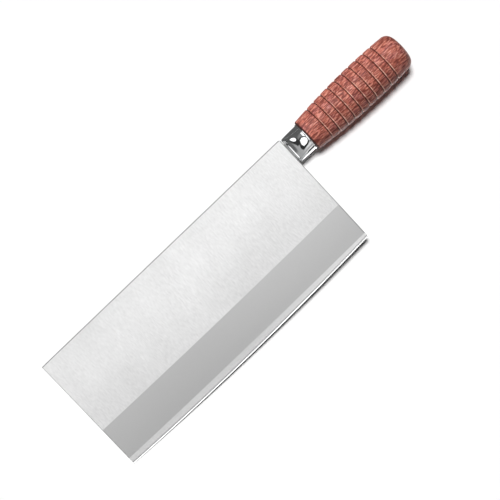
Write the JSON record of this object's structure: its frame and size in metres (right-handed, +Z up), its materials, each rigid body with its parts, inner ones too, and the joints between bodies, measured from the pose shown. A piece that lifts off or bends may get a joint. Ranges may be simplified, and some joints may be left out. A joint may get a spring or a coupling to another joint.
{
  "type": "vegetable cleaver",
  "caption": "Broad rectangular kitchen knife with a laminated steel blade, a polished flat-to-round ferrule and a turned wooden handle with ring grooves.",
  "frame": {"origin": "on the table that the knife lies on, under the middle of its length and breadth", "axes": "+X from the tip of the blade to the butt of the handle, +Y from the cutting edge to the spine, +Z up from the table"},
  "size_m": [0.3151, 0.0923, 0.0304],
  "materials": {
    "blade_face": "satin, ground across the blade, with a finer grey bevel along the edge",
    "blade_core": "fine ground, with a bright sharpened edge",
    "ferrule": "polished",
    "resin": "cast",
    "tang": "drawn",
    "handle_wood": "turned hardwood with open pores, lightly oiled",
    "washer": "stamped"
  },
  "bodies": {
    "root": {"left_cladding": "blade_face", "blade_core": "blade_core", "right_cladding": "blade_face", "ferrule": "ferrule", "ferrule_filler": "resin", "tang_rod": "tang", "handle": "handle_wood", "butt_washer": "washer"}
  },
  "joints": []
}
